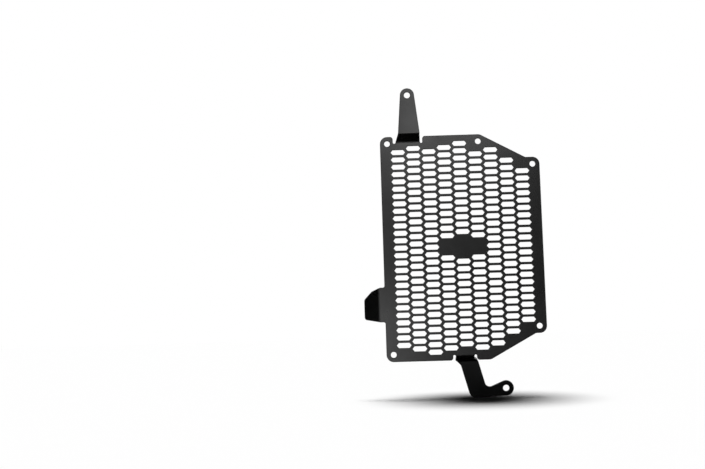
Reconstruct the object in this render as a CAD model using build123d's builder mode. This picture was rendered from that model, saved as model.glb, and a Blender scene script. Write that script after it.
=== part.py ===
from build123d import *
import os
from math import atan2, cos, degrees, radians, sin, tan

# Motorcycle radiator guard: one aluminium sheet, laser cut and folded.
# The panel stands upright and faces -Y, +Z is up, and every fold goes back, towards the radiator.
# The origin is the upper fixing hole, on the seat face at the back of its bracket.
# All sizes are in millimetres and all angles in degrees.

# Sheet
sheet_thickness = 2.0
bend_radius = 2.0  # inside of each bend

# Panel, seen from the front, with the straight inner edge on the left
panel_width = 154.0
panel_height = 218.0
top_edge = 97.0  # from the inner edge to the upper sloping edge
bottom_land = 10.55  # level edge between the lower bracket's notch and the lower sloping edge
outer_edge = 170.2  # height of the panel at its outer edge
top_shoulder = 13.5  # level step between the upper slope and the outer edge
bottom_shoulder = 10.5
shoulder_radius = 3.0
corner_radius = 6.7
corner_hole_diameter = 6.0

# Long hexagonal slots, in columns that step by half a row
slot_length = 14.5
slot_flat = 10.4  # straight upper and lower sides
slot_height = 5.2
column_pitch = 15.0
row_pitch = 7.2
slot_land = 2.5  # least metal from a slot to any other edge
plate_width = 40.0  # bare plate in the middle of the mesh
plate_height = 17.0

# Both folded brackets
joggle_depth = 10.0  # from the panel's face back to the bracket's face
bend_run = 0.5  # flat past the second bend, before the bracket takes its own shape
bracket_hole_diameter = 6.5
relief_width = 2.8  # notch on each side of a bracket's root
relief_mouth_radius = 2.5

# Upper bracket: a tapered arm with a round head
top_inset = 26.8  # from the inner edge to the middle of the root
top_width = 23.6
top_relief = 6.6
top_bend = 46.0
top_arm_width = 20.8  # where the arm leaves the second bend
top_arm_shift = 2.0  # from the middle of the root to the middle of the arm
top_hole_shift = 1.4
top_hole_rise = 38.7  # from the second bend to the hole
top_head_radius = 6.8

# Lower bracket: a slanted arm that ends in a foot with an ear
foot_inset = 74.9
foot_width = 17.5
foot_relief = 5.0
foot_bend = 76.0
foot_lean = 6.0  # backwards, from the plane of the panel
foot_slant = 15.5  # outwards, in the plane of the arm
foot_arm_width = 17.5
foot_arm_shift = 4.1
foot_hole_drop = 27.9  # from the second bend to the hole
foot_hole_reach = 35.4  # from the middle of the arm at the second bend
foot_ear_radius = 7.2
foot_instep_rise = 23.0  # slope of the foot's upper edge
foot_sole_rise = 2.0  # slope of its lower edge
heel_radius = 6.0
instep_radius = 5.0
foot_step_top = 0.8  # above the second bend, where the left edge starts to step in to the arm
foot_step_drop = 4.6  # below the second bend, where that step ends
foot_web_radius = 3.0
foot_step_radius = 5.0

# Side tab: a flange folded back from the inner edge
side_rise = 54.7  # from the panel's lower edge to the middle of the root
side_width = 33.0
side_flat = 4.3  # from the panel's edge to the start of the bend
side_bend = 45.0
side_length = 20.2  # from the bend's virtual corner to the end
side_straight = 9.9  # part of the upper edge before its corner is cut off
side_top_taper = 16.7
side_bottom_taper = 7.9
side_corner_cut = 36.0  # angle of the cut corner
side_corner_radius = 3.0
side_root_radius = 2.0

# Shared values
outer_bend_radius = bend_radius + sheet_thickness
half_width = panel_width / 2
half_height = panel_height / 2
half_outer = outer_edge / 2
bottom_edge = foot_inset + foot_width / 2 + relief_width + relief_mouth_radius + bottom_land
top_x = top_inset - half_width
foot_x = foot_inset - half_width
side_z = side_rise - half_height
touch = 0.001


# Length from a virtual corner to the start of the round that turns through the angle there
def setback(radius, angle):
    return radius * tan(radians(angle / 2))


# A joggle drawn from the side as (back, up): it starts on the panel, turns at two virtual corners
# and runs out along the bracket. Upward is 1 for the upper bracket and -1 for the lower one.
def joggle_line(relief, bend, lean, reach, upward):
    bend_start = upward * (half_height - relief)
    first_corner = bend_start + upward * setback(outer_bend_radius, bend)
    second_corner = first_corner + upward * joggle_depth / tan(radians(bend))
    tip_back = joggle_depth + reach * sin(radians(lean))
    tip_up = second_corner + upward * reach * cos(radians(lean))
    root = bend_start - upward * sheet_thickness
    return [(0, root), (0, first_corner), (joggle_depth, second_corner), (tip_back, tip_up)]


top_line = joggle_line(top_relief, top_bend, 0, top_hole_rise + 2 * top_head_radius, 1)
foot_line = joggle_line(foot_relief, foot_bend, foot_lean, foot_hole_drop + 2 * foot_ear_radius, -1)

# Work planes, measured from the middle of the panel's face
panel_middle = Vector(
    -(top_x + top_hole_shift),
    -(joggle_depth + sheet_thickness),
    -(top_line[2][1] + top_hole_rise),
)
front = Plane(panel_middle, x_dir=(1, 0, 0), z_dir=(0, -1, 0))  # local (right, up)
profile = Plane(panel_middle, x_dir=(0, 1, 0), z_dir=(1, 0, 0))  # local (back, up)


# The face of a bracket, through the second corner of its joggle
def bracket_face(line, lean):
    corner = panel_middle + Vector(0, *line[2])
    facing = (0, -cos(radians(lean)), -sin(radians(lean)))
    return Plane(corner, x_dir=(1, 0, 0), z_dir=facing)


# Height, on a bracket's face, of a point given as (back, up) from the middle of the panel
def height_on(face, point):
    return face.to_local_coords(panel_middle + Vector(0, *point)).Y


# A strip of sheet folded along a line on its front face, much wider than what is cut from it
def folded_strip(plane, line, radii, back_side):
    with BuildPart() as strip:
        with BuildSketch(plane):
            with BuildLine():
                FilletPolyline(*line, radius=radii)
                offset(amount=sheet_thickness, side=back_side)
            make_face()
        extrude(amount=panel_height, both=True)
    return strip.part


# Upper bracket
top_face = bracket_face(top_line, 0)
top_root = height_on(top_face, top_line[0])
top_bend_start = top_root + sheet_thickness
top_arm_start = setback(bend_radius, top_bend) + bend_run
top_arm_left = top_x + top_arm_shift - top_arm_width / 2
top_arm_right = top_arm_left + top_arm_width
top_left = top_x - top_width / 2
top_right = top_left + top_width
top_hole = (top_x + top_hole_shift, top_hole_rise)
with BuildPart() as top_bracket:
    add(folded_strip(profile, top_line, [outer_bend_radius, bend_radius], Side.RIGHT))
    with BuildSketch(top_face):
        with BuildLine():
            Line((top_arm_left, top_arm_start), (top_arm_right, top_arm_start))
        with Locations(top_hole):
            Circle(top_head_radius)
        make_hull()
        with BuildLine():
            Polyline(
                (top_left, top_root),
                (top_right, top_root),
                (top_right, top_bend_start),
                (top_arm_right, top_arm_start),
                (top_arm_left, top_arm_start),
                (top_left, top_bend_start),
                close=True,
            )
        make_face()
        with Locations(top_hole):
            Circle(bracket_hole_diameter / 2, mode=Mode.SUBTRACT)
    extrude(amount=panel_height, both=True, mode=Mode.INTERSECT)

# Lower bracket
foot_face = bracket_face(foot_line, foot_lean)
foot_root = height_on(foot_face, foot_line[0])
foot_web = height_on(foot_face, foot_line[1])
foot_arm_start = -setback(bend_radius, foot_bend - foot_lean) - bend_run
foot_arm_x = foot_x + foot_arm_shift
foot_left = foot_x - foot_width / 2
foot_right = foot_left + foot_width
foot_hole = (foot_arm_x + foot_hole_reach, -foot_hole_drop)
arm_slope = tan(radians(foot_slant))
instep_slope = tan(radians(foot_instep_rise))
sole_slope = tan(radians(foot_sole_rise))


# A point on an edge of the slanted arm: side is -1 for its left edge and 1 for its right edge
def arm_edge(side, height):
    return (foot_arm_x + side * foot_arm_width / 2 - height * arm_slope, height)


# The foot's edges leave the ear at a tangent: the lower one meets the arm's left edge at the heel,
# and the upper one meets its right edge at the instep
ear_bottom = (
    foot_hole[0] + foot_ear_radius * sin(radians(foot_sole_rise)),
    foot_hole[1] - foot_ear_radius * cos(radians(foot_sole_rise)),
)
heel_run = (ear_bottom[0] - arm_edge(-1, ear_bottom[1])[0]) / (1 + arm_slope * sole_slope)
heel = (ear_bottom[0] - heel_run, ear_bottom[1] - heel_run * sole_slope)
ear_tip = (foot_hole[0] + foot_ear_radius, foot_hole[1])
ear_top = (
    foot_hole[0] - foot_ear_radius * sin(radians(foot_instep_rise)),
    foot_hole[1] + foot_ear_radius * cos(radians(foot_instep_rise)),
)
instep_run = (ear_top[0] - arm_edge(1, ear_top[1])[0]) / (1 + arm_slope * instep_slope)
instep = (ear_top[0] - instep_run, ear_top[1] - instep_run * instep_slope)
with BuildPart() as foot_bracket:
    add(folded_strip(profile, foot_line, [outer_bend_radius, bend_radius], Side.LEFT))
    with BuildSketch(foot_face):
        with BuildLine():
            FilletPolyline(
                (foot_left, foot_root),
                (foot_left, foot_step_top),
                arm_edge(-1, -foot_step_drop),
                heel,
                ear_bottom,
                radius=[foot_web_radius, foot_step_radius, heel_radius],
            )
            ThreePointArc(ear_bottom, ear_tip, ear_top)
            FilletPolyline(
                ear_top,
                instep,
                arm_edge(1, foot_arm_start),
                (foot_right, foot_web),
                (foot_right, foot_root),
                radius=[instep_radius, 0, 0],
            )
            Line((foot_right, foot_root), (foot_left, foot_root))
        make_face()
        with Locations(foot_hole):
            Circle(bracket_hole_diameter / 2, mode=Mode.SUBTRACT)
    extrude(amount=panel_height, both=True, mode=Mode.INTERSECT)

# Side tab, folded in a view from above as (out, back) and trimmed on the face of its flange
side_corner = half_width + side_flat + setback(outer_bend_radius, side_bend)
side_out = cos(radians(side_bend))
side_back = sin(radians(side_bend))
side_line = [
    (half_width + side_flat - sheet_thickness, 0),
    (side_corner, 0),
    (side_corner + 2 * side_length * side_out, 2 * side_length * side_back),
]
side_level = Plane(panel_middle + Vector(0, 0, side_z), x_dir=(-1, 0, 0), z_dir=(0, 0, -1))
side_face = Plane(
    panel_middle + Vector(-side_corner, 0, side_z),
    x_dir=(-side_out, side_back, 0),
    z_dir=(side_back, side_out, 0),
)
side_top = side_width / 2
side_start = -setback(outer_bend_radius, side_bend) * side_out
side_cut_top = side_top - (side_straight - side_start) * tan(radians(side_top_taper))
side_end_top = side_cut_top - (side_length - side_straight) * tan(radians(side_corner_cut))
side_end_bottom = (side_length - side_start) * tan(radians(side_bottom_taper)) - side_top
with BuildPart() as side_tab:
    add(folded_strip(side_level, side_line, [outer_bend_radius], Side.LEFT))
    with BuildSketch(side_face):
        with BuildLine():
            FilletPolyline(
                (-side_length, side_top),
                (side_start, side_top),
                (side_straight, side_cut_top),
                (side_length, side_end_top),
                (side_length, side_end_bottom),
                (side_start, -side_top),
                (-side_length, -side_top),
                radius=[0, 0, side_corner_radius, side_corner_radius, side_corner_radius, 0, 0],
                close=True,
            )
        make_face()
    extrude(amount=panel_height, both=True, mode=Mode.INTERSECT)

# Corner holes, each centred on the round of its corner
top_slope = degrees(atan2(half_height - half_outer, panel_width - top_edge - top_shoulder))
hole_x = half_width - corner_radius
hole_z = half_height - corner_radius
outer_hole_z = half_outer - corner_radius
peak_x = top_edge - half_width - setback(corner_radius, top_slope)
corner_holes = [
    (-hole_x, hole_z),
    (peak_x, hole_z),
    (hole_x, outer_hole_z),
    (hole_x, -outer_hole_z),
    (-hole_x, -hole_z),
]

# Flat outline of the panel, with the root of the side tab and a relief notch beside each bracket
with BuildSketch() as blank:
    with BuildLine():
        FilletPolyline(
            (-half_width, half_height),
            (top_edge - half_width, half_height),
            (half_width - top_shoulder, half_outer),
            (half_width, half_outer),
            (half_width, -half_outer),
            (half_width - bottom_shoulder, -half_outer),
            (bottom_edge - half_width, -half_height),
            (-half_width, -half_height),
            radius=[corner_radius, corner_radius, shoulder_radius, corner_radius] * 2,
            close=True,
        )
    make_face()
    with Locations((-half_width, side_z)):
        Rectangle(side_flat, side_width, align=(Align.MAX, Align.CENTER))
    inner_edge = blank.vertices().filter_by_position(Axis.X, -half_width - touch, -half_width + touch)
    fillet(inner_edge.sort_by(Axis.Y)[1:3], side_root_radius)
    with Locations(*corner_holes):
        Circle(corner_hole_diameter / 2, mode=Mode.SUBTRACT)
    for root_x, root_width, relief, upward in (
        (top_x, top_width, top_relief, 1),
        (foot_x, foot_width, foot_relief, -1),
    ):
        edge_z = upward * half_height
        bend_z = upward * (half_height - relief)
        notch_z = bend_z + upward * relief_width / 2
        notch_x = root_width / 2 + relief_width / 2
        with Locations((root_x, (notch_z + edge_z) / 2)):
            Rectangle(root_width + 2 * relief_width, abs(edge_z - notch_z), mode=Mode.SUBTRACT)
        with Locations((root_x, (bend_z + edge_z) / 2)):
            Rectangle(root_width, abs(edge_z - bend_z), mode=Mode.SUBTRACT)
        with Locations((root_x - notch_x, notch_z), (root_x + notch_x, notch_z)):
            Circle(relief_width / 2, mode=Mode.SUBTRACT)
        edge = blank.vertices().filter_by_position(Axis.Y, edge_z - touch, edge_z + touch)
        fillet(edge.sort_by(Axis.X)[1:3], relief_mouth_radius)

with BuildSketch() as slot:
    Polygon(
        (slot_length / 2, 0),
        (slot_flat / 2, slot_height / 2),
        (-slot_flat / 2, slot_height / 2),
        (-slot_length / 2, 0),
        (-slot_flat / 2, -slot_height / 2),
        (slot_flat / 2, -slot_height / 2),
    )


panel_face = blank.sketch.face()
panel_rims = blank.sketch.wires()


# A slot is cut where it keeps its land to every edge, hole and notch and stays off the bare plate
def slot_fits(x, z):
    if abs(x) < plate_width / 2 and abs(z) < plate_height / 2:
        return False
    if not panel_face.is_inside((x, z, 0)):
        return False
    placed = slot.sketch.moved(Location((x, z, 0)))
    return min(rim.distance_to(placed) for rim in panel_rims) >= slot_land


columns = int(half_width / column_pitch)
rows = int(half_height / row_pitch)
slot_places = []
for column in range(-columns, columns + 1):
    half_step = row_pitch / 2 * (column % 2)
    for row in range(-rows - 1, rows + 1):
        place = (column * column_pitch, row * row_pitch + half_step)
        if slot_fits(*place):
            slot_places.append(place)

# The whole guard: the panel, what is folded from it, and the slots through it
with BuildPart() as guard:
    with BuildSketch(front):
        add(blank.sketch)
    extrude(amount=-sheet_thickness)
    add([top_bracket.part, foot_bracket.part, side_tab.part])
    with BuildSketch(front):
        with Locations(*slot_places):
            add(slot.sketch)
    extrude(amount=-sheet_thickness, mode=Mode.SUBTRACT, clean=False)

guard.part.label = "radiator_guard"
os.makedirs("parts", exist_ok=True)
export_step(guard.part, "parts/radiator_guard.step")
print(len(slot_places), "slots")
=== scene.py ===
import math

import bmesh
import bpy
import numpy as np
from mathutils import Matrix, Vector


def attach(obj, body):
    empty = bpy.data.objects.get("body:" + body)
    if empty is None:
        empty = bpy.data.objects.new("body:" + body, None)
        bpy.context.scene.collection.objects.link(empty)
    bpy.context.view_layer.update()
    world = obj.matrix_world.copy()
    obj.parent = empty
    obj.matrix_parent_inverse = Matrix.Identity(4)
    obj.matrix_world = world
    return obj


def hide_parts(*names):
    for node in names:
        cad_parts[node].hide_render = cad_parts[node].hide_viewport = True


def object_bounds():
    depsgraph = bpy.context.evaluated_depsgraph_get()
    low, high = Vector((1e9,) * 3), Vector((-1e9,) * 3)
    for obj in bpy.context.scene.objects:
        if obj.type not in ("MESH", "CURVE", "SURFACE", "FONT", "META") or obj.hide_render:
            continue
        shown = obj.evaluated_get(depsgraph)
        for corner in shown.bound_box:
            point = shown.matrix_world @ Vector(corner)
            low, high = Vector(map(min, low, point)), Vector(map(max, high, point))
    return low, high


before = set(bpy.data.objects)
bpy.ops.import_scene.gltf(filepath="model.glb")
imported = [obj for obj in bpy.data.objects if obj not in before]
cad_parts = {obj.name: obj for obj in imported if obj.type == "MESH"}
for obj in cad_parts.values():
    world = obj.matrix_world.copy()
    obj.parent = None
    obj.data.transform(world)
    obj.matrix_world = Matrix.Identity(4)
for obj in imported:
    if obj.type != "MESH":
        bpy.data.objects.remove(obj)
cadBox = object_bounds()
print("frame loaded:", sorted(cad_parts))
mmPerMetre = 1000


def linear(code):  # sRGB hex to a linear colour
    parts = [int(code[i:i + 2], 16) / 255 for i in (1, 3, 5)]
    return tuple(p / 12.92 if p <= 0.04045 else ((p + 0.055) / 1.055) ** 2.4 for p in parts) + (1.0,)


def addNode(tree, kind, feeds=None, **settings):  # feeds: socket name or number to a value or an output
    node = tree.nodes.new(kind)
    for name, value in settings.items():
        setattr(node, name, value)
    for socket, value in (feeds or {}).items():
        if isinstance(value, bpy.types.NodeSocket):
            tree.links.new(value, node.inputs[socket])
        else:
            node.inputs[socket].default_value = value
    return node


# flat pattern of the guard, in millimetres from the middle of the panel
sheet = {
    "thickness": 2.0,
    "bendRadius": 2.0,  # inside
    "bendSteps": 10,  # strips that each bend is folded in
    "edgeRound": 0.6,  # what deburring and the coat leave of a cut edge
    "coat": 0.2,  # thickness of primer and powder coat, which makes the slots a little smaller
    "middle": (48.8, -12.0, -152.455),  # of the panel's front face, in the CAD frame
    "onePoint": 1e-4,  # outline points closer than this are one
    "weld": 0.004,  # points of the walls and faces closer than this are joined
    "snap": 0.002,  # a bend line that passes a point closer than this runs through it
}
midRadius = sheet["bendRadius"] + sheet["thickness"] / 2


# corners (x, y, radius) to points, with each radius drawn in short chords
def rounded(corners, closed, chord=math.radians(8)):
    points = []
    for i, (x, y, radius) in enumerate(corners):
        here = np.array([x, y])
        if radius == 0:
            points.append(here)
            continue
        back = np.array(corners[i - 1][:2]) - here
        ahead = np.array(corners[(i + 1) % len(corners)][:2]) - here
        back /= np.linalg.norm(back)
        ahead /= np.linalg.norm(ahead)
        turn = math.acos(max(-1.0, min(1.0, -back @ ahead)))
        side = 1 if ahead[0] * back[1] - ahead[1] * back[0] > 0 else -1
        tangent = here + back * radius * math.tan(turn / 2)
        centre = tangent + radius * side * np.array([back[1], -back[0]])
        steps = max(2, math.ceil(turn / chord))
        for step in range(steps + 1):
            angle = side * turn * step / steps
            arm = tangent - centre
            points.append(centre + np.array([
                arm[0] * math.cos(angle) - arm[1] * math.sin(angle),
                arm[0] * math.sin(angle) + arm[1] * math.cos(angle)]))
    gaps = [np.linalg.norm(p - points[i - 1]) for i, p in enumerate(points)]
    kept = [p for i, p in enumerate(points) if i == 0 or gaps[i] > sheet["onePoint"]]
    if closed and np.linalg.norm(kept[0] - kept[-1]) < sheet["onePoint"]:
        kept.pop()
    return kept


def arcPoints(centre, radius, start, end, chord=8):  # degrees, with both ends
    steps = max(2, math.ceil(abs(end - start) / chord))
    turns = [math.radians(start + (end - start) * k / steps) for k in range(steps + 1)]
    return [(centre[0] + radius * math.cos(t), centre[1] + radius * math.sin(t), 0) for t in turns]


# where a joggled bracket's face heights lie on the flat sheet: two bends with a web between them
def joggle(depth, bend, lean):
    first, second, tilt = math.radians(bend), math.radians(bend - lean), math.radians(lean)
    outer = sheet["bendRadius"] + sheet["thickness"]
    setback = sheet["bendRadius"] * math.tan(second / 2)
    web = depth / math.sin(first) - outer * math.tan(first / 2) - setback
    starts = [0, midRadius * first, midRadius * first + web]
    count = sheet["bendSteps"] + 1
    lengths = list(np.linspace(0, starts[1], count))
    lengths += list(np.linspace(starts[2], starts[2] + midRadius * second, count))
    reach, heights = [0.0, 0.0], []
    for i, length in enumerate(lengths):
        if i:
            half = (lengths[i - 1] + length) / 2
            angle = min(half, starts[1]) / midRadius - max(half - starts[2], 0) / midRadius
            reach[0] += (length - lengths[i - 1]) * math.sin(angle)
            reach[1] += (length - lengths[i - 1]) * math.cos(angle)
        heights.append(reach[0] * math.sin(tilt) + reach[1] * math.cos(tilt))
    heights = [h - heights[-1] + setback for h in heights]
    return {
        "lengths": lengths, "heights": heights, "setback": setback,
        "starts": starts, "angles": (first, second),
    }


# an outline drawn on a bracket's face, laid out flat; skip drops what a relief notch's round end takes
def unfold(path, fold, skip):
    flat = []
    for x, h in path:
        length = np.interp(h, fold["heights"], fold["lengths"])
        flat.append((x, length + max(h - fold["setback"], 0), 0))
    return [p for p in flat if p[1] > skip]


panel = {
    "width": 154.0, "height": 218.0, "topEdge": 97.0, "bottomEdge": 99.5, "outerEdge": 170.2,
    "topShoulder": 13.5, "bottomShoulder": 10.5, "shoulderRadius": 3.0, "cornerRadius": 6.7,
    "cornerHole": 6.0, "bracketHole": 6.5, "bendRun": 0.5, "joggle": 10.0,
    "reliefWidth": 2.8, "mouthRadius": 2.5,
    "rootRadius": 1.3,  # of a notch's end beside the bracket, whose edge leans a little over the notch
    "bracketClear": 0.3,  # points this far past the coated edge of the panel belong to a bracket
}
halfWidth, halfHeight, halfOuter = panel["width"] / 2, panel["height"] / 2, panel["outerEdge"] / 2

topArm = {
    "inset": 26.8, "width": 23.6, "relief": 6.6, "bend": 46.0, "armWidth": 20.8, "armShift": 2.0,
    "holeShift": 1.4, "holeRise": 38.7, "headRadius": 6.8,
}
topX = topArm["inset"] - halfWidth
topLeft, topRight = topX - topArm["width"] / 2, topX + topArm["width"] / 2
topBend = halfHeight - topArm["relief"]
topFold = joggle(panel["joggle"], topArm["bend"], 0)
topStart = topFold["setback"] + panel["bendRun"]
topHole = (topX + topArm["holeShift"], topArm["holeRise"])
topPath = [(topRight, topFold["heights"][0])]
headAngles = []
for side in (1, -1):  # lines from the arm's two corners that touch the round head
    corner = np.array([topX + topArm["armShift"] + side * topArm["armWidth"] / 2, topStart])
    away = corner - np.array(topHole)
    spread = math.degrees(math.acos(topArm["headRadius"] / np.linalg.norm(away)))
    headAngles.append(math.degrees(math.atan2(away[1], away[0])) + side * spread)
    if side == 1:
        topPath.append(tuple(corner))
topPath += [p[:2] for p in arcPoints(topHole, topArm["headRadius"], headAngles[0], headAngles[1] % 360)]
topPath += [tuple(corner), (topLeft, topFold["heights"][0])]
topFlat = unfold(topPath, topFold, panel["reliefWidth"] / 2)

foot = {
    "inset": 74.9, "width": 17.5, "relief": 5.0, "bend": 76.0, "lean": 6.0, "slant": 15.5,
    "armWidth": 17.5, "armShift": 4.1, "holeDrop": 27.9, "holeReach": 35.4, "earRadius": 7.2,
    "instepRise": 23.0, "instepRadius": 5.0, "soleRise": 2.0, "heelRadius": 6.0,
    "stepTop": 0.8, "stepDrop": 4.6, "webRadius": 3.0, "stepRadius": 5.0,
}
footX = foot["inset"] - halfWidth
footLeft, footRight = footX - foot["width"] / 2, footX + foot["width"] / 2
footBend = halfHeight - foot["relief"]
footFold = joggle(panel["joggle"], foot["bend"], foot["lean"])
footStart = footFold["setback"] + panel["bendRun"]
footHole = (footX + foot["armShift"] + foot["holeReach"], foot["holeDrop"])
slope = math.tan(math.radians(foot["slant"]))
rise, sole, lean = (math.radians(foot[name]) for name in ("instepRise", "soleRise", "lean"))
ear = foot["earRadius"]
armLeft = footX + foot["armShift"] - foot["armWidth"] / 2
armRight = armLeft + foot["armWidth"]
earTop = (footHole[0] - ear * math.sin(rise), footHole[1] - ear * math.cos(rise))
run = (earTop[0] - armRight - earTop[1] * slope) / (1 + slope * math.tan(rise))
instep = (earTop[0] - run, earTop[1] + run * math.tan(rise))
earBottom = (footHole[0] + ear * math.sin(sole), footHole[1] + ear * math.cos(sole))
run = (earBottom[0] - armLeft - earBottom[1] * slope) / (1 + slope * math.tan(sole))
heel = (earBottom[0] - run, earBottom[1] + run * math.tan(sole))
webHeight = -panel["joggle"] / math.tan(math.radians(foot["bend"])) * math.cos(lean)
webHeight -= panel["joggle"] * math.sin(lean)
footPath = rounded(
    [(footLeft, footFold["heights"][0], 0),
     (footLeft, -foot["stepTop"], foot["webRadius"]),
     (armLeft + foot["stepDrop"] * slope, foot["stepDrop"], foot["stepRadius"]),
     (heel[0], heel[1], foot["heelRadius"])]
    + arcPoints(footHole, ear, 90 - foot["soleRise"], -90 - foot["instepRise"])
    + [(instep[0], instep[1], foot["instepRadius"]),
       (armRight + footStart * slope, footStart, 0),
       (footRight, webHeight, 0),
       (footRight, footFold["heights"][0], 0)], False)
footFlat = unfold([tuple(p) for p in footPath], footFold, panel["reliefWidth"] / 2)

sideTab = {
    "rise": 54.7, "width": 33.0, "flat": 4.3, "bend": 45.0, "length": 20.2, "straight": 9.9,
    "topTaper": 16.7, "bottomTaper": 7.9, "cornerCut": 36.0, "cornerRadius": 3.0, "rootRadius": 2.0,
    "edgeSteps": 8,  # outline points through the bend
}
tabZ = sideTab["rise"] - halfHeight
tabBend = halfWidth + sideTab["flat"]
tabAngle = math.radians(sideTab["bend"])
tabSetback = (sheet["bendRadius"] + sheet["thickness"]) * math.tan(tabAngle / 2)
tabLead = tabSetback * math.cos(tabAngle)  # the taper starts with the bend
tabStretch = midRadius * tabAngle - tabSetback  # flat length past the bend, from the virtual corner
tabTop = sideTab["width"] / 2
topTaper, bottomTaper, cornerCut = (
    math.tan(math.radians(sideTab[name])) for name in ("topTaper", "bottomTaper", "cornerCut"))
cutTop = tabTop - (sideTab["straight"] + tabLead) * topTaper
endTop = cutTop - (sideTab["length"] - sideTab["straight"]) * cornerCut
endBottom = (sideTab["length"] + tabLead) * bottomTaper - tabTop
tabEnd = tabBend + tabStretch + sideTab["length"]


def tabEdge(taper, side):  # an edge of the tab through its bend, from the panel outward; side 1 is up
    points = []
    for step in range(sideTab["edgeSteps"] + 1):
        part = step / sideTab["edgeSteps"]
        lead = part * (tabLead + tabSetback)
        points.append((-tabBend - part * midRadius * tabAngle, side * (tabTop - lead * taper), 0))
    return points


tabFlat = tabEdge(topTaper, 1) + [
    (-tabBend - tabStretch - sideTab["straight"], cutTop, sideTab["cornerRadius"]),
    (-tabEnd, endTop, sideTab["cornerRadius"]),
    (-tabEnd, endBottom, sideTab["cornerRadius"]),
] + tabEdge(bottomTaper, -1)[::-1]


# relief notch: in past a rounded mouth on the panel's edge and round its end to the bracket, or back out
def notch(x, edge, end, outward, heading):
    width, far = panel["reliefWidth"], x + outward * panel["reliefWidth"]
    outer = [(far, edge, panel["mouthRadius"]), (far, end, width / 2), (x, end, panel["rootRadius"])]
    return outer if heading == "in" else outer[::-1]


# the notches are deeper by the coat, so that coated they end where the bends start
topNotch, footNotch = topBend - sheet["coat"], sheet["coat"] - footBend
outline = [(-halfWidth, -halfHeight, panel["cornerRadius"])]
outline += notch(footLeft, -halfHeight, footNotch, -1, "in")
outline += [(x, -footBend - length, 0) for x, length, _ in footFlat]
outline += notch(footRight, -halfHeight, footNotch, 1, "out")
outline += [
    (panel["bottomEdge"] - halfWidth, -halfHeight, panel["cornerRadius"]),
    (halfWidth - panel["bottomShoulder"], -halfOuter, panel["shoulderRadius"]),
    (halfWidth, -halfOuter, panel["cornerRadius"]),
    (halfWidth, halfOuter, panel["cornerRadius"]),
    (halfWidth - panel["topShoulder"], halfOuter, panel["shoulderRadius"]),
    (panel["topEdge"] - halfWidth, halfHeight, panel["cornerRadius"]),
]
outline += notch(topRight, halfHeight, topNotch, 1, "in")
outline += [(x, topBend + length, 0) for x, length, _ in topFlat]
outline += notch(topLeft, halfHeight, topNotch, -1, "out")
outline.append((-halfWidth, halfHeight, panel["cornerRadius"]))
outline.append((-halfWidth, tabZ + tabTop, sideTab["rootRadius"]))
outline += [(x, tabZ + z, radius) for x, z, radius in tabFlat]
outline.append((-halfWidth, tabZ - tabTop, sideTab["rootRadius"]))

holeX, holeZ, outerZ = (half - panel["cornerRadius"] for half in (halfWidth, halfHeight, halfOuter))
topSlope = math.atan2(halfHeight - halfOuter, panel["width"] - panel["topEdge"] - panel["topShoulder"])
peakX = panel["topEdge"] - halfWidth - panel["cornerRadius"] * math.tan(topSlope / 2)
holes = [(x, z, panel["cornerHole"]) for x, z in (
    (-holeX, holeZ), (peakX, holeZ), (holeX, outerZ), (holeX, -outerZ), (-holeX, -holeZ))]
flatTop = topFold["lengths"][-1] - topFold["setback"]
flatFoot = footFold["lengths"][-1] - footFold["setback"]
holes.append((topHole[0], topBend + flatTop + topHole[1], panel["bracketHole"]))
holes.append((footHole[0], -footBend - flatFoot - footHole[1], panel["bracketHole"]))

loops = [rounded(outline, True)]
loops += [[p[:2] for p in arcPoints((x, z), size / 2, 360, 0, chord=10)[:-1]] for x, z, size in holes]
vertices, edges = [], []
for loop in loops:
    first = len(vertices)
    vertices += [(float(p[0]), float(p[1]), 0.0) for p in loop]
    edges += [(first + i, first + (i + 1) % len(loop)) for i in range(len(loop))]
blankMesh = bpy.data.meshes.new("guardBlank")
blankMesh.from_pydata(vertices, edges, [])
blank = bpy.data.objects.new("guardBlank", blankMesh)
bpy.context.scene.collection.objects.link(blank)
print("flat pattern:", len(loops), "loops,", len(vertices), "points")

# Polyester powder coat, baked on aluminium: the melt leaves a fine orange peel, so the black is deep
# and its half gloss is broken up very slightly, with softer reflections in patches.
coatLook = {
    "colour": "#040404",
    "patchColour": "#070707",
    "ior": 1.5,
    "roughLow": 0.26,
    "roughHigh": 0.33,
    "peelSize": 1.6,  # mm between the swells of the orange peel
    "peelDepth": 0.03,  # mm
    "peelStrength": 0.12,
    "grainSize": 0.25,  # mm, powder that stayed a little proud
    "grainShare": 0.25,  # of the peel's height
    "patchSize": 45.0,  # mm
    "patchFrom": 0.3,  # of the noise, where the roughness is low
    "patchTo": 0.7,  # and where it is high
}


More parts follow.
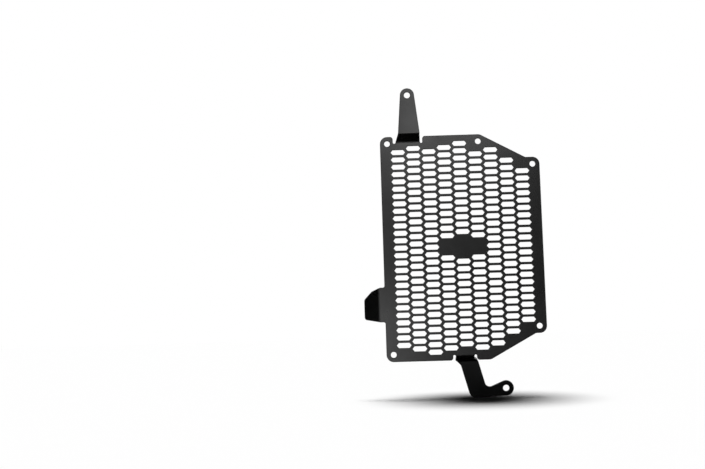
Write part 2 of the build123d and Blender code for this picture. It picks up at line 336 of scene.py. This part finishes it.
def powderCoat():
    made = bpy.data.materials.new("powderCoatBlackSemiGloss")
    made.use_nodes = True
    tree = made.node_tree
    tree.nodes.clear()
    place = addNode(tree, "ShaderNodeTexCoord").outputs["Object"]
    noise = {}
    for name, detail, roughness in (("peel", 2.0, 0.5), ("grain", 1.0, 0.5), ("patch", 3.0, 0.55)):
        scale = mmPerMetre / coatLook[name + "Size"]
        noise[name] = addNode(tree, "ShaderNodeTexNoise", {
            "Vector": place, "Scale": scale, "Detail": detail, "Roughness": roughness}).outputs["Fac"]
    relief = addNode(tree, "ShaderNodeMath", {
        0: noise["grain"], 1: coatLook["grainShare"], 2: noise["peel"]}, operation="MULTIPLY_ADD")
    bump = addNode(tree, "ShaderNodeBump", {
        "Height": relief.outputs[0], "Strength": coatLook["peelStrength"],
        "Distance": coatLook["peelDepth"] / mmPerMetre})
    rough = addNode(tree, "ShaderNodeMapRange", {
        "Value": noise["patch"], "From Min": coatLook["patchFrom"], "From Max": coatLook["patchTo"],
        "To Min": coatLook["roughLow"], "To Max": coatLook["roughHigh"]})
    dark, light = linear(coatLook["colour"]), linear(coatLook["patchColour"])
    tint = addNode(tree, "ShaderNodeMix", {
        "Factor": noise["patch"], 6: dark, 7: light}, data_type="RGBA")
    coat = addNode(tree, "ShaderNodeBsdfPrincipled", {
        "Base Color": tint.outputs[2], "Roughness": rough.outputs["Result"], "IOR": coatLook["ior"],
        "Normal": bump.outputs["Normal"]})
    addNode(tree, "ShaderNodeOutputMaterial", {"Surface": coat.outputs["BSDF"]})
    return made


coat = powderCoat()
print("powder coat made")

# Geometry Nodes cut the slots and give the flat sheet its thickness and edges
slots = {
    "Slot Length": 14.5, "Slot Flat": 10.4, "Slot Height": 5.2,
    "Slot Corner": 0.35,  # more than the coat, or the coated tips would fold over
    "Corner Points": 2,  # points added to round each corner
    "Land Probes": 12,  # points added on each side of a slot, where its land is measured
    "Column Pitch": 15.0, "Row Pitch": 7.2, "Slot Land": 2.5, "Plate Width": 40.0, "Plate Height": 17.0,
    "Columns": 9, "Rows": 33, "Thickness": sheet["thickness"] + 2 * sheet["coat"],
    "Edge Round": sheet["edgeRound"], "Coat Thickness": sheet["coat"],
}


def sheetTree():
    tree = bpy.data.node_groups.new("cutPerforatedSheet", "GeometryNodeTree")
    tree.interface.new_socket("Blank", in_out="INPUT", socket_type="NodeSocketGeometry")
    for name, value in slots.items():
        kind = "NodeSocketInt" if isinstance(value, int) else "NodeSocketFloat"
        tree.interface.new_socket(name, in_out="INPUT", socket_type=kind)
    tree.interface.new_socket("Coat", in_out="INPUT", socket_type="NodeSocketMaterial")
    tree.interface.new_socket("Guard", in_out="OUTPUT", socket_type="NodeSocketGeometry")
    given = addNode(tree, "NodeGroupInput").outputs
    place = addNode(tree, "GeometryNodeInputPosition").outputs[0]
    spot = addNode(tree, "ShaderNodeSeparateXYZ", {0: place}).outputs
    index = addNode(tree, "GeometryNodeInputIndex").outputs[0]
    rims = addNode(tree, "GeometryNodeMeshToCurve", {0: given["Blank"]}).outputs[0]
    flat = addNode(tree, "GeometryNodeFillCurve", {0: rims}, mode="TRIANGLES").outputs[0]
    half = {}
    for name in ("Slot Length", "Row Pitch", "Plate Width", "Plate Height", "Thickness"):
        half[name] = addNode(tree, "ShaderNodeMath", {
            0: given[name], 1: 0.5}, operation="MULTIPLY").outputs[0]

    # one slot: a circle of six points drawn out to a long hexagon
    six = addNode(tree, "GeometryNodeCurvePrimitiveCircle", {"Resolution": 6, "Radius": 1.0}).outputs[0]
    sideways = addNode(tree, "ShaderNodeMath", {0: spot["X"]}, operation="SIGN").outputs[0]
    apart = addNode(tree, "ShaderNodeMath", {0: spot["X"]}, operation="ABSOLUTE").outputs[0]
    point = addNode(tree, "ShaderNodeMath", {
        0: given["Slot Length"], 1: given["Slot Flat"]}, operation="SUBTRACT").outputs[0]
    inner = addNode(tree, "ShaderNodeMath", {
        0: given["Slot Flat"], 1: half["Slot Length"]}, operation="SUBTRACT").outputs[0]
    stretched = addNode(tree, "ShaderNodeMath", {
        0: apart, 1: point, 2: inner}, operation="MULTIPLY_ADD").outputs[0]
    slotX = addNode(tree, "ShaderNodeMath", {0: stretched, 1: sideways}, operation="MULTIPLY").outputs[0]
    halfSlot = addNode(tree, "ShaderNodeMath", {  # the six points are the root of 3 high
        0: given["Slot Height"], 1: math.sqrt(3)}, operation="DIVIDE").outputs[0]
    slotY = addNode(tree, "ShaderNodeMath", {0: spot["Y"], 1: halfSlot}, operation="MULTIPLY").outputs[0]
    hexSpot = addNode(tree, "ShaderNodeCombineXYZ", {"X": slotX, "Y": slotY}).outputs[0]
    hexagon = addNode(tree, "GeometryNodeSetPosition", {0: six, "Position": hexSpot}).outputs[0]
    turned = addNode(tree, "GeometryNodeReverseCurve", {0: hexagon}).outputs[0]

    # a grid of places, with every other column half a row higher
    span = []
    for count, pitch in (("Columns", "Column Pitch"), ("Rows", "Row Pitch")):
        gaps = addNode(tree, "ShaderNodeMath", {
            0: given[count], 1: 1.0}, operation="SUBTRACT").outputs[0]
        span.append(addNode(tree, "ShaderNodeMath", {
            0: gaps, 1: given[pitch]}, operation="MULTIPLY").outputs[0])
    grid = addNode(tree, "GeometryNodeMeshGrid", {
        "Size X": span[0], "Size Y": span[1],
        "Vertices X": given["Columns"], "Vertices Y": given["Rows"]}).outputs[0]
    column = addNode(tree, "ShaderNodeMath", {
        0: spot["X"], 1: given["Column Pitch"]}, operation="DIVIDE").outputs[0]
    whole = addNode(tree, "ShaderNodeMath", {0: column}, operation="ROUND").outputs[0]
    odd = addNode(tree, "ShaderNodeMath", {0: whole, 1: 2.0}, operation="FLOORED_MODULO").outputs[0]
    stagger = addNode(tree, "ShaderNodeMath", {
        0: odd, 1: half["Row Pitch"]}, operation="MULTIPLY").outputs[0]
    raised = addNode(tree, "ShaderNodeCombineXYZ", {"Y": stagger}).outputs[0]
    places = addNode(tree, "GeometryNodeSetPosition", {0: grid, "Offset": raised}).outputs[0]

    # a place counts on the sheet and off the bare plate, and its slot keeps the land to every rim
    overhead = addNode(tree, "ShaderNodeVectorMath", {
        0: place, 1: (0.0, 0.0, 1.0)}, operation="ADD").outputs[0]
    onSheet = addNode(tree, "GeometryNodeRaycast", {
        "Target Geometry": flat, "Source Position": overhead,
        "Ray Direction": (0.0, 0.0, -1.0), "Ray Length": 2.0}).outputs["Is Hit"]
    farY = addNode(tree, "ShaderNodeMath", {0: spot["Y"]}, operation="ABSOLUTE").outputs[0]
    beside = []
    for far, size in ((apart, "Plate Width"), (farY, "Plate Height")):
        beside.append(addNode(tree, "FunctionNodeCompare", {
            0: far, 1: half[size]}, operation="GREATER_EQUAL").outputs[0])
    offPlate = addNode(tree, "FunctionNodeBooleanMath", {
        0: beside[0], 1: beside[1]}, operation="OR").outputs[0]
    wanted = addNode(tree, "FunctionNodeBooleanMath", {
        0: onSheet, 1: offPlate}, operation="AND").outputs[0]
    copies = addNode(tree, "GeometryNodeInstanceOnPoints", {
        "Points": places, "Selection": wanted, "Instance": turned}).outputs[0]
    tried = addNode(tree, "GeometryNodeRealizeInstances", {0: copies}).outputs[0]
    probes = addNode(tree, "GeometryNodeSubdivideCurve", {
        "Curve": tried, "Cuts": given["Land Probes"]}).outputs[0]
    clear = addNode(tree, "GeometryNodeProximity", {
        0: given["Blank"]}, target_element="EDGES").outputs["Distance"]
    tight = addNode(tree, "FunctionNodeCompare", {
        0: clear, 1: given["Slot Land"]}, operation="LESS_THAN").outputs[0]
    owner = addNode(tree, "GeometryNodeCurveOfPoint").outputs["Curve Index"]
    tightCount = addNode(tree, "GeometryNodeAccumulateField", {
        "Value": tight, "Group ID": owner}, data_type="INT", domain="POINT").outputs["Total"]
    marked = addNode(tree, "GeometryNodeStoreNamedAttribute", {
        0: probes, "Name": "tight", "Value": tightCount}, data_type="INT", domain="CURVE").outputs[0]
    noted = addNode(tree, "GeometryNodeInputNamedAttribute", {
        "Name": "tight"}, data_type="INT").outputs[0]
    found = addNode(tree, "GeometryNodeSampleIndex", {
        0: marked, "Value": noted, "Index": index}, data_type="INT", domain="CURVE").outputs[0]
    refused = addNode(tree, "FunctionNodeCompare", {
        2: found, 3: 0}, data_type="INT", operation="GREATER_THAN").outputs[0]
    kept = addNode(tree, "GeometryNodeDeleteGeometry", {
        0: tried, "Selection": refused}, domain="CURVE").outputs[0]
    cut = addNode(tree, "GeometryNodeFilletCurve", {
        "Curve": kept, "Count": given["Corner Points"], "Radius": given["Slot Corner"],
        "Limit Radius": True}, mode="POLY").outputs[0]

    # every rim swept with the sheet's edge, a line of four points: the cut wall, with a round at each end
    wallHalf = addNode(tree, "ShaderNodeMath", {
        0: half["Thickness"], 1: given["Edge Round"]}, operation="SUBTRACT").outputs[0]
    line = addNode(tree, "GeometryNodeMeshLine", {"Count": 4, "Offset": (0.0, 1.0, 0.0)}).outputs[0]
    offMiddle = addNode(tree, "ShaderNodeMath", {0: index, 1: 1.5}, operation="SUBTRACT").outputs[0]
    offSize = addNode(tree, "ShaderNodeMath", {0: offMiddle}, operation="ABSOLUTE").outputs[0]
    offSign = addNode(tree, "ShaderNodeMath", {0: offMiddle}, operation="SIGN").outputs[0]
    isEnd = addNode(tree, "ShaderNodeMath", {0: offSize, 1: 1.0}, operation="GREATER_THAN").outputs[0]
    inset = addNode(tree, "ShaderNodeMath", {
        0: isEnd, 1: given["Edge Round"]}, operation="MULTIPLY").outputs[0]
    insetIn = addNode(tree, "ShaderNodeMath", {
        0: given["Coat Thickness"], 1: inset}, operation="SUBTRACT").outputs[0]
    wallOut = addNode(tree, "ShaderNodeMath", {0: wallHalf, 1: inset}, operation="ADD").outputs[0]
    wallY = addNode(tree, "ShaderNodeMath", {0: wallOut, 1: offSign}, operation="MULTIPLY").outputs[0]
    edgeSpot = addNode(tree, "ShaderNodeCombineXYZ", {"X": insetIn, "Y": wallY}).outputs[0]
    edgeLine = addNode(tree, "GeometryNodeSetPosition", {0: line, "Position": edgeSpot}).outputs[0]
    edgeCurve = addNode(tree, "GeometryNodeMeshToCurve", {0: edgeLine}).outputs[0]
    joined = addNode(tree, "GeometryNodeJoinGeometry")
    tree.links.new(rims, joined.inputs[0])
    tree.links.new(cut, joined.inputs[0])
    level = addNode(tree, "GeometryNodeSetCurveNormal", {0: joined.outputs[0]}, mode="Z_UP").outputs[0]
    walls = addNode(tree, "GeometryNodeCurveToMesh", {
        "Curve": level, "Profile Curve": edgeCurve}).outputs[0]

    # both faces are filled between the upper ends of the walls, so they share their points
    neighbours = addNode(tree, "GeometryNodeInputMeshEdgeNeighbors").outputs[0]
    openEdge = addNode(tree, "FunctionNodeCompare", {
        2: neighbours, 3: 1}, data_type="INT", operation="EQUAL").outputs[0]
    upper = addNode(tree, "FunctionNodeCompare", {
        0: spot["Z"], 1: 0.0}, operation="GREATER_THAN").outputs[0]
    upperRim = addNode(tree, "FunctionNodeBooleanMath", {
        0: openEdge, 1: upper}, operation="AND").outputs[0]
    faceRims = addNode(tree, "GeometryNodeMeshToCurve", {0: walls, "Selection": upperRim}).outputs[0]
    face = addNode(tree, "GeometryNodeFillCurve", {0: faceRims}, mode="TRIANGLES").outputs[0]
    face = addNode(tree, "GeometryNodeStoreNamedAttribute", {
        0: face, "Name": "flatFace", "Value": True}, data_type="BOOLEAN", domain="FACE").outputs[0]
    halfUp = addNode(tree, "ShaderNodeCombineXYZ", {"Z": half["Thickness"]}).outputs[0]
    halfDown = addNode(tree, "ShaderNodeVectorMath", {
        0: halfUp, "Scale": -1.0}, operation="SCALE").outputs[0]
    frontFace = addNode(tree, "GeometryNodeSetPosition", {0: face, "Offset": halfUp}).outputs[0]
    turnedFace = addNode(tree, "GeometryNodeFlipFaces", {0: face}).outputs[0]
    backFace = addNode(tree, "GeometryNodeSetPosition", {0: turnedFace, "Offset": halfDown}).outputs[0]
    closed = addNode(tree, "GeometryNodeJoinGeometry")
    for part in (walls, frontFace, backFace):
        tree.links.new(part, closed.inputs[0])
    body = addNode(tree, "GeometryNodeMergeByDistance", {
        0: closed.outputs[0], "Distance": sheet["weld"]}).outputs[0]

    real = addNode(tree, "GeometryNodeRealizeInstances", {0: body}).outputs[0]
    coated = addNode(tree, "GeometryNodeSetMaterial", {0: real, "Material": given["Coat"]}).outputs[0]
    addNode(tree, "NodeGroupOutput", {0: coated})
    return tree


def cutSheet():
    tree = sheetTree()
    modifier = blank.modifiers.new("cutSheet", "NODES")
    modifier.node_group = tree
    for item in tree.interface.items_tree:
        if item.in_out == "INPUT" and item.name in slots:
            modifier[item.identifier] = slots[item.name]
        elif item.name == "Coat":
            modifier[item.identifier] = coat
    seen = blank.evaluated_get(bpy.context.evaluated_depsgraph_get())
    made = bpy.data.meshes.new_from_object(seen)
    blank.modifiers.remove(modifier)
    bpy.data.objects.remove(blank)
    made.name = "guardSheet"
    return made


# which bracket, heading of the bend, where it starts, how far it turns, and to which side (1 is back)
bends = [
    ("top", (0, 1, 0), topBend + topFold["starts"][2], topFold["angles"][1], -1),
    ("top", (0, 1, 0), topBend, topFold["angles"][0], 1),
    ("foot", (0, -1, 0), footBend + footFold["starts"][2], footFold["angles"][1], -1),
    ("foot", (0, -1, 0), footBend, footFold["angles"][0], 1),
    ("tab", (-1, 0, 0), tabBend, tabAngle, 1),
]


def bracketPoints(points):  # which points lie on which bracket, while the sheet is flat
    x, y = points[:, 0], points[:, 1]
    clear = panel["reliefWidth"] / 2
    beyond = panel["bracketClear"] + sheet["coat"]
    return {
        "top": (y > 0) & ((abs(x - topX) < topArm["width"] / 2 + clear) | (y > halfHeight + beyond)),
        "foot": (y < 0) & ((abs(x - footX) < foot["width"] / 2 + clear) | (y < -halfHeight - beyond)),
        "tab": x < -halfWidth - beyond,
    }


def foldSheet(mesh):
    work = bmesh.new()
    work.from_mesh(mesh)
    onBracket = bracketPoints(np.array([v.co for v in work.verts]))
    parts = {}
    for bracket, mine in onBracket.items():
        faces = [f for f in work.faces if any(mine[v.index] for v in f.verts)]
        sides = list({e for f in faces for e in f.edges})
        parts[bracket] = faces + sides + list({v for f in faces for v in f.verts})
    for bracket, heading, start, angle, _ in bends:  # a line across the sheet for each step of each bend
        for step in range(sheet["bendSteps"] + 1):
            line = start + angle * midRadius * step / sheet["bendSteps"]
            cut = bmesh.ops.bisect_plane(
                work, geom=parts[bracket], dist=sheet["snap"],
                plane_co=[line * h for h in heading], plane_no=heading)
            parts[bracket] = cut["geom"]
    work.to_mesh(mesh)
    work.free()
    points = np.empty(len(mesh.vertices) * 3)
    mesh.vertices.foreach_get("co", points)
    points = points.reshape(-1, 3)
    onBracket = bracketPoints(points)
    for bracket, heading, start, angle, toward in bends:  # the far bend first, while its line lies flat
        past = points @ heading - start
        wound = np.clip(past, 0, angle * midRadius)
        turn, straight = wound / midRadius, past - wound
        reach = toward * points[:, 2] + midRadius
        newPast = reach * np.sin(turn) + straight * np.cos(turn)
        newHeight = toward * (reach * np.cos(turn) - straight * np.sin(turn) - midRadius)
        moved = points + np.outer(newPast - past, heading)
        moved[:, 2] = newHeight
        chosen = onBracket[bracket] & (past > 0)
        points[chosen] = moved[chosen]
    stood = np.stack([points[:, 0], sheet["thickness"] / 2 - points[:, 2], points[:, 1]], axis=1)
    stood = (stood + sheet["middle"]) / mmPerMetre
    mesh.vertices.foreach_set("co", stood.ravel())
    mesh.update()


# faces stay flat to their rims and the small rounds turn smoothly from face to cut wall
def setNormals(mesh):
    faceCount = len(mesh.polygons)
    normals, areas = np.empty(faceCount * 3), np.empty(faceCount)
    sizes = np.empty(faceCount, dtype=np.int32)
    onFace = np.empty(faceCount, dtype=bool)
    corners = np.empty(len(mesh.loops), dtype=np.int32)
    mesh.polygons.foreach_get("normal", normals)
    mesh.polygons.foreach_get("area", areas)
    mesh.polygons.foreach_get("loop_total", sizes)
    mesh.loops.foreach_get("vertex_index", corners)
    mesh.attributes["flatFace"].data.foreach_get("value", onFace)
    owner = np.repeat(np.arange(faceCount), sizes)
    weighted = normals.reshape(-1, 3) * areas[:, None]
    rim = np.zeros(len(mesh.vertices), dtype=bool)
    rim[corners[onFace[owner]]] = True
    wall = np.ones(faceCount, dtype=bool)
    np.logical_and.at(wall, owner, ~rim[corners])
    total = np.zeros((len(mesh.vertices), 3))
    for group in (onFace, wall):
        counted = group[owner]
        np.add.at(total, corners[counted], weighted[owner[counted]])
    total /= np.linalg.norm(total, axis=1)[:, None]
    mesh.shade_smooth()
    mesh.normals_split_custom_set_from_vertices(total.tolist())
    mesh.attributes.remove(mesh.attributes["flatFace"])


guardMesh = cutSheet()
print("sheet cut:", len(guardMesh.polygons), "faces")
foldSheet(guardMesh)
setNormals(guardMesh)
guard = bpy.data.objects.new("guardSheet", guardMesh)
bpy.context.scene.collection.objects.link(guard)
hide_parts("radiator_guard")
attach(guard, "root")
print("sheet folded:", len(guardMesh.polygons), "faces")

# white floor that runs into the white backdrop and keeps the guard's shadow; over the guard hangs an oval
# gauze that only the lamp overhead sees, for the soft dark patch that the photo has round the foot
floorZ = cadBox[0][2]
floorLook = {"colour": "#fdfdfd", "radius": 6.0}
gauze = {
    "dense": 0.062, "radius": 0.092,  # closed up to dense
    "stretch": (0.9, 1.12, 1.0),  # longer from front to back
    "middle": (0.062, -0.024, floorZ + 0.33),
}
black = (0.0, 0.0, 0.0, 1.0)


def hangDisc(name, radius, middle, material, sides=96):
    turns = np.linspace(0, 2 * math.pi, sides, endpoint=False)
    rim = [(radius * math.cos(a), radius * math.sin(a), 0.0) for a in turns]
    mesh = bpy.data.meshes.new(name)
    mesh.from_pydata(rim, [], [list(range(len(rim)))])
    mesh.materials.append(material)
    made = bpy.data.objects.new(name, mesh)
    made.location = middle
    bpy.context.scene.collection.objects.link(made)
    return made


def mattMaterial(name, colour):
    made = bpy.data.materials.new(name)
    made.use_nodes = True
    made.node_tree.nodes.clear()
    matt = addNode(made.node_tree, "ShaderNodeBsdfDiffuse", {"Color": colour}).outputs[0]
    addNode(made.node_tree, "ShaderNodeOutputMaterial", {"Surface": matt})
    return made


# black gauze in layers: closed in the middle, and thinner and thinner towards its rim
def gradedGauze():
    made = mattMaterial("gauzeBlackWoven", black)
    tree = made.node_tree
    threads = tree.nodes["Diffuse BSDF"].outputs[0]
    place = addNode(tree, "ShaderNodeTexCoord").outputs["Object"]
    away = addNode(tree, "ShaderNodeVectorMath", {0: place}, operation="LENGTH").outputs["Value"]
    thin = addNode(tree, "ShaderNodeMapRange", {
        "Value": away, "From Min": gauze["dense"], "From Max": gauze["radius"]},
        interpolation_type="SMOOTHSTEP").outputs["Result"]
    gaps = addNode(tree, "ShaderNodeBsdfTransparent").outputs[0]
    weave = addNode(tree, "ShaderNodeMixShader", {0: thin, 1: threads, 2: gaps}).outputs[0]
    tree.links.new(weave, tree.nodes["Material Output"].inputs["Surface"])
    return made


felt = mattMaterial("feltBlackWoven", black)  # swallows light, so the gloss shows a plain dark there
paper = mattMaterial("backdropPaperMatt", linear(floorLook["colour"]))  # even white with no shine
hangDisc("studioFloor", floorLook["radius"], (0.0, 0.0, floorZ), paper)
gauzeDisc = hangDisc("floorGauze", gauze["radius"], gauze["middle"], gradedGauze())
gauzeDisc.scale = gauze["stretch"]
gauzeDisc.visible_camera = gauzeDisc.visible_diffuse = gauzeDisc.visible_glossy = False
gauzeDisc.visible_transmission = gauzeDisc.visible_volume_scatter = False

worldLook = {"seen": 1.0, "fill": 0.004}  # white where seen or mirrored, and hardly lights matt faces


def makeWorld():
    world = bpy.data.worlds.new("studioWorld")
    bpy.context.scene.world = world
    world.use_nodes = True
    tree = world.node_tree
    tree.nodes.clear()
    ray = addNode(tree, "ShaderNodeLightPath").outputs
    direct = addNode(tree, "ShaderNodeMath", {
        0: ray["Diffuse Depth"], 1: 0.5}, operation="LESS_THAN").outputs[0]
    gloss = addNode(tree, "ShaderNodeMath", {
        0: ray["Is Glossy Ray"], 1: direct}, operation="MULTIPLY").outputs[0]
    seen = addNode(tree, "ShaderNodeMath", {
        0: ray["Is Camera Ray"], 1: gloss}, operation="MAXIMUM").outputs[0]
    seen = addNode(tree, "ShaderNodeMath", {
        0: seen, 1: ray["Is Transmission Ray"]}, operation="MAXIMUM").outputs[0]
    strength = addNode(tree, "ShaderNodeMapRange", {
        "Value": seen, "To Min": worldLook["fill"], "To Max": worldLook["seen"]}).outputs["Result"]
    glow = addNode(tree, "ShaderNodeBackground", {"Color": (1.0, 1.0, 1.0, 1.0), "Strength": strength})
    addNode(tree, "ShaderNodeOutputWorld", {"Surface": glow.outputs[0]})


makeWorld()

# black cloths round the set, seen only in the gloss: they keep the folds and the foot dark; metres
lowZ = floorZ + 0.0005  # just clear of the floor
cloths = {
    "roofCloth": {"middle": (0.05, 0.1, 0.6), "size": (2.4, 1.4), "turn": (0.0, 0.0, 0.0)},
    "footCloth": {"middle": (0.13, -0.05, lowZ), "size": (0.26, 0.6), "turn": (0.0, 0.0, 0.0)},
    "tabCloth": {"middle": (-0.49, 0.0, lowZ), "size": (0.68, 0.24), "turn": (0.0, 0.0, 0.0)},
    "leftCloth": {"middle": (-0.82, -0.1, 0.1), "size": (1.4, 1.4), "turn": (0.0, 90.0, 0.0)},
    "frontCloth": {"middle": (0.15, -1.3, 0.15), "size": (1.4, 1.1), "turn": (90.0, 0.0, 0.0)},
}


def hangCloths():
    for name, cloth in cloths.items():
        x, y = cloth["size"][0] / 2, cloth["size"][1] / 2
        mesh = bpy.data.meshes.new(name)
        mesh.from_pydata([(-x, -y, 0), (x, -y, 0), (x, y, 0), (-x, y, 0)], [], [(0, 1, 2, 3)])
        mesh.materials.append(felt)
        made = bpy.data.objects.new(name, mesh)
        made.location = cloth["middle"]
        made.rotation_euler = [math.radians(a) for a in cloth["turn"]]
        made.visible_camera = made.visible_diffuse = made.visible_shadow = False
        made.visible_transmission = made.visible_volume_scatter = False
        bpy.context.scene.collection.objects.link(made)


hangCloths()

# a broad lamp overhead lights the floor; two soft boxes in front show only in the guard's gloss
lamps = {
    "highSun": {"strength": 3.17, "softness": 17.0},  # softness: degrees that it takes up in the sky
    "highBox": {"power": 1.42, "size": (0.42, 0.18), "place": (0.065, -1.15, 0.24)},
    "lowBox": {"power": 0.85, "size": (0.38, 0.08), "place": (-0.16, -1.15, -0.255)},
}


def setLamps():
    sun = bpy.data.lights.new("highSun", "SUN")  # shines straight down
    sun.energy = lamps["highSun"]["strength"]
    sun.angle = math.radians(lamps["highSun"]["softness"])
    lamp = bpy.data.objects.new("highSun", sun)
    lamp.visible_glossy = False
    bpy.context.scene.collection.objects.link(lamp)
    for name in ("highBox", "lowBox"):
        soft = bpy.data.lights.new(name, "AREA")
        soft.shape = "RECTANGLE"
        soft.size, soft.size_y = lamps[name]["size"]
        soft.energy = lamps[name]["power"]
        lamp = bpy.data.objects.new(name, soft)
        lamp.location = lamps[name]["place"]
        lamp.rotation_euler = (math.pi / 2, 0.0, 0.0)  # faces the guard
        lamp.visible_camera = lamp.visible_diffuse = False
        bpy.context.scene.collection.objects.link(lamp)


setLamps()
print("floor, world, cloths and lamps set")

view = {
    "place": (-0.0419104, -0.9762517, -0.2281402),  # metres, in the CAD frame
    "turn": (95.35248, 1.64356, 1.09114),  # degrees
    "imageWide": 705,  # pixels of the photograph
    "focal": 1000.0,  # pixels
    "sensorWide": 36.0,  # mm
}
camera = bpy.data.cameras.new("studioCamera")
camera.sensor_fit = "HORIZONTAL"
camera.sensor_width = view["sensorWide"]
camera.lens = camera.sensor_width * view["focal"] / view["imageWide"]
cameraObject = bpy.data.objects.new("studioCamera", camera)
cameraObject.location = view["place"]
cameraObject.rotation_euler = [math.radians(a) for a in view["turn"]]
bpy.context.scene.collection.objects.link(cameraObject)
bpy.context.scene.camera = cameraObject
bpy.context.scene.view_settings.view_transform = "Standard"
